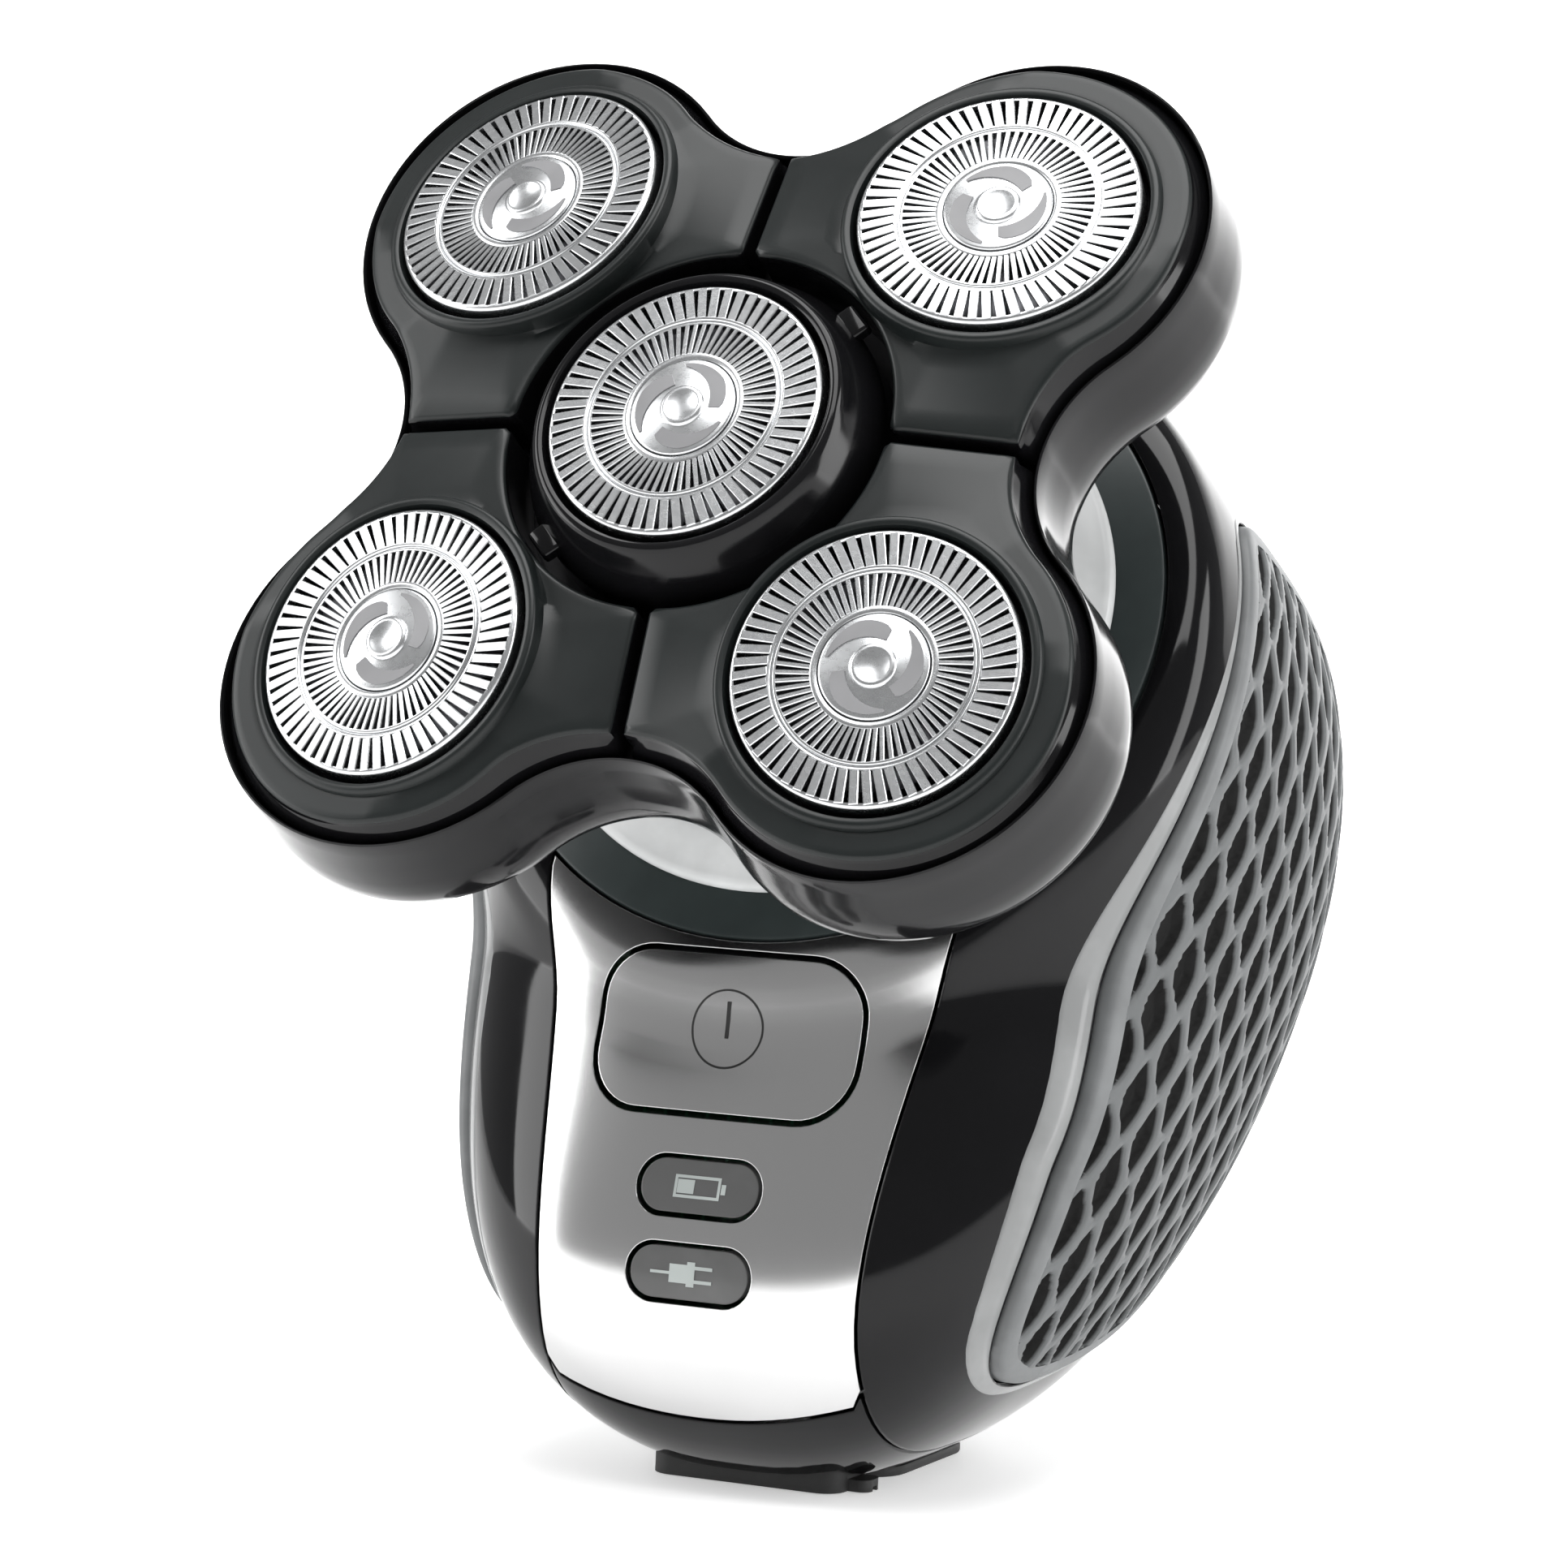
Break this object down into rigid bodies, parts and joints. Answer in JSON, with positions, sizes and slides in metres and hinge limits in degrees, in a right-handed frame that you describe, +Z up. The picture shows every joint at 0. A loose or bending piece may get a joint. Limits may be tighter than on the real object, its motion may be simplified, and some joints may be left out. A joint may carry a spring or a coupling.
{
  "type": "electric head shaver",
  "caption": "Palm-held electric head shaver: lobed head of flexing rotary cutters tilted over an egg-shaped body with silver panel and lattice grips.",
  "frame": {"origin": "centre of the foot pad's underside", "axes": "+Z up as the shaver stands, -Y towards the front panel, +X to the viewer's right when facing the panel"},
  "size_m": [0.0756, 0.1012, 0.1175],
  "materials": {
    "black_gloss": "mirror-gloss black moulding",
    "black_satin": "satin-gloss black moulding",
    "mirror_silver": "mirror silver plating",
    "cutter_steel": "bright brushed steel",
    "dark_steel": "ground steel",
    "grey_rubber": "matte grey grip rubber",
    "black_rubber": "matte black rubber",
    "collar_grey": "satin light grey moulding",
    "lens_grey": "smoked indicator lens",
    "gear_white": "natural acetal",
    "inner_plastic": "moulded inner frame",
    "board_green": "solder mask",
    "cell_wrap": "shrink wrap",
    "light_white": "clear light guide"
  },
  "bodies": {
    "body": {"front_panel": "mirror_silver", "deck_plate": "black_satin", "right_shell": "black_gloss", "left_shell": "black_gloss", "back_shell": "black_gloss", "right_grip": "grey_rubber", "left_grip": "grey_rubber", "base_cap": "black_gloss", "foot_pad": "black_rubber", "charge_socket": "cutter_steel", "battery_lens": "lens_grey", "plug_lens": "lens_grey", "collar": "collar_grey", "neck_seal": "black_rubber", "motor": "dark_steel", "chassis": "inner_plastic", "circuit_board": "board_green", "tact_switch": "inner_plastic", "battery_light": "light_white", "plug_light": "light_white", "battery_1": "cell_wrap", "battery_2": "cell_wrap", "board_screw_1": "dark_steel", "board_screw_2": "dark_steel", "board_screw_3": "dark_steel", "board_screw_4": "dark_steel"},
    "drive": {"drive_shaft": "dark_steel"},
    "head": {"head_base": "black_gloss", "gear_plate": "inner_plastic"},
    "middle_gear": {"centre_gear": "gear_white"},
    "middle_pod": {"pod": "black_gloss", "guard_0": "cutter_steel", "cap_0": "cutter_steel"},
    "middle_cutter": {"cutter_0": "dark_steel"},
    "button": {"power_button": "mirror_silver"},
    "port_flap": {"port_cover": "black_rubber"},
    "lobe_unit_1": {"lobe_1": "black_satin", "guard_1": "cutter_steel", "cap_1": "cutter_steel"},
    "cutter_unit_1": {"cutter_1": "dark_steel"},
    "gear_unit_1": {"gear_1": "gear_white"},
    "lobe_unit_2": {"lobe_2": "black_satin", "guard_2": "cutter_steel", "cap_2": "cutter_steel"},
    "cutter_unit_2": {"cutter_2": "dark_steel"},
    "gear_unit_2": {"gear_2": "gear_white"},
    "lobe_unit_3": {"lobe_3": "black_satin", "guard_3": "cutter_steel", "cap_3": "cutter_steel"},
    "cutter_unit_3": {"cutter_3": "dark_steel"},
    "gear_unit_3": {"gear_3": "gear_white"},
    "lobe_unit_4": {"lobe_4": "black_satin", "guard_4": "cutter_steel", "cap_4": "cutter_steel"},
    "cutter_unit_4": {"cutter_4": "dark_steel"},
    "gear_unit_4": {"gear_4": "gear_white"}
  },
  "joints": [
    {"name": "head_release", "type": "slide", "parent": "body", "child": "head", "axis": [0, -0.866, 0.5], "range_m": [0, 0.012]},
    {"name": "drive_spin", "type": "hinge", "parent": "body", "child": "drive", "pos_m": [0, -0.02108, 0.0785], "axis": [0, -0.866, 0.5], "continuous": true},
    {"name": "middle_gear_spin", "type": "hinge", "parent": "head", "child": "middle_gear", "pos_m": [0, -0.02628, 0.0815], "axis": [0, -0.866, 0.5], "continuous": true},
    {"name": "middle_pod_tilt", "type": "hinge", "parent": "head", "child": "middle_pod", "pos_m": [0, -0.03494, 0.0865], "axis": [0.7071, 0.3536, 0.6124], "range_deg": [-3, 3], "stiffness_Nm_per_rad": 0.4},
    {"name": "middle_cutter_spin", "type": "hinge", "parent": "middle_pod", "child": "middle_cutter", "pos_m": [0, -0.03667, 0.0875], "axis": [0, -0.866, 0.5], "continuous": true},
    {"name": "button_press", "type": "slide", "parent": "body", "child": "button", "axis": [0, 0.9824, -0.1868], "range_m": [0, 0.0005], "stiffness_N_per_m": 600},
    {"name": "port_flap_open", "type": "hinge", "parent": "body", "child": "port_flap", "pos_m": [0, -0.0106, 0.0001], "axis": [1, 0, 0], "range_deg": [0, 100]},
    {"name": "lobe_tilt_1", "type": "hinge", "parent": "head", "child": "lobe_unit_1", "pos_m": [0.01273, -0.02511, 0.09552], "axis": [-0.7071, 0.3536, 0.6124], "range_deg": [-2.5, 2.5], "stiffness_Nm_per_rad": 0.4},
    {"name": "cutter_spin_1", "type": "hinge", "parent": "lobe_unit_1", "child": "cutter_unit_1", "pos_m": [0.02086, -0.02595, 0.1054], "axis": [0.1009, -0.8067, 0.5822], "continuous": true},
    {"name": "gear_spin_1", "type": "hinge", "parent": "head", "child": "gear_unit_1", "pos_m": [0.02086, -0.01585, 0.09957], "axis": [0, -0.866, 0.5], "continuous": true},
    {"name": "lobe_tilt_2", "type": "hinge", "parent": "head", "child": "lobe_unit_2", "pos_m": [-0.01273, -0.02511, 0.09552], "axis": [-0.7071, -0.3536, -0.6124], "range_deg": [-2.5, 2.5], "stiffness_Nm_per_rad": 0.4},
    {"name": "cutter_spin_2", "type": "hinge", "parent": "lobe_unit_2", "child": "cutter_unit_2", "pos_m": [-0.02086, -0.02595, 0.1054], "axis": [-0.1009, -0.8067, 0.5822], "continuous": true},
    {"name": "gear_spin_2", "type": "hinge", "parent": "head", "child": "gear_unit_2", "pos_m": [-0.02086, -0.01585, 0.09957], "axis": [0, -0.866, 0.5], "continuous": true},
    {"name": "lobe_tilt_3", "type": "hinge", "parent": "head", "child": "lobe_unit_3", "pos_m": [-0.01273, -0.03784, 0.07348], "axis": [0.7071, -0.3536, -0.6124], "range_deg": [-2.5, 2.5], "stiffness_Nm_per_rad": 0.4},
    {"name": "cutter_spin_3", "type": "hinge", "parent": "lobe_unit_3", "child": "cutter_unit_3", "pos_m": [-0.02086, -0.04681, 0.06927], "axis": [-0.1009, -0.9076, 0.4075], "continuous": true},
    {"name": "gear_spin_3", "type": "hinge", "parent": "head", "child": "gear_unit_3", "pos_m": [-0.02086, -0.03671, 0.06344], "axis": [0, -0.866, 0.5], "continuous": true},
    {"name": "lobe_tilt_4", "type": "hinge", "parent": "head", "child": "lobe_unit_4", "pos_m": [0.01273, -0.03784, 0.07348], "axis": [0.7071, 0.3536, 0.6124], "range_deg": [-2.5, 2.5], "stiffness_Nm_per_rad": 0.4},
    {"name": "cutter_spin_4", "type": "hinge", "parent": "lobe_unit_4", "child": "cutter_unit_4", "pos_m": [0.02086, -0.04681, 0.06927], "axis": [0.1009, -0.9076, 0.4075], "continuous": true},
    {"name": "gear_spin_4", "type": "hinge", "parent": "head", "child": "gear_unit_4", "pos_m": [0.02086, -0.03671, 0.06344], "axis": [0, -0.866, 0.5], "continuous": true}
  ],
  "couplings": [
    {"joint": "middle_gear_spin", "follows": "drive_spin", "ratio": 1},
    {"joint": "middle_cutter_spin", "follows": "drive_spin", "ratio": 1},
    {"joint": "gear_spin_1", "follows": "drive_spin", "ratio": -1.4583},
    {"joint": "cutter_spin_1", "follows": "drive_spin", "ratio": -1.4583},
    {"joint": "gear_spin_2", "follows": "drive_spin", "ratio": -1.4583},
    {"joint": "cutter_spin_2", "follows": "drive_spin", "ratio": -1.4583},
    {"joint": "gear_spin_3", "follows": "drive_spin", "ratio": -1.4583},
    {"joint": "cutter_spin_3", "follows": "drive_spin", "ratio": -1.4583},
    {"joint": "gear_spin_4", "follows": "drive_spin", "ratio": -1.4583},
    {"joint": "cutter_spin_4", "follows": "drive_spin", "ratio": -1.4583}
  ]
}
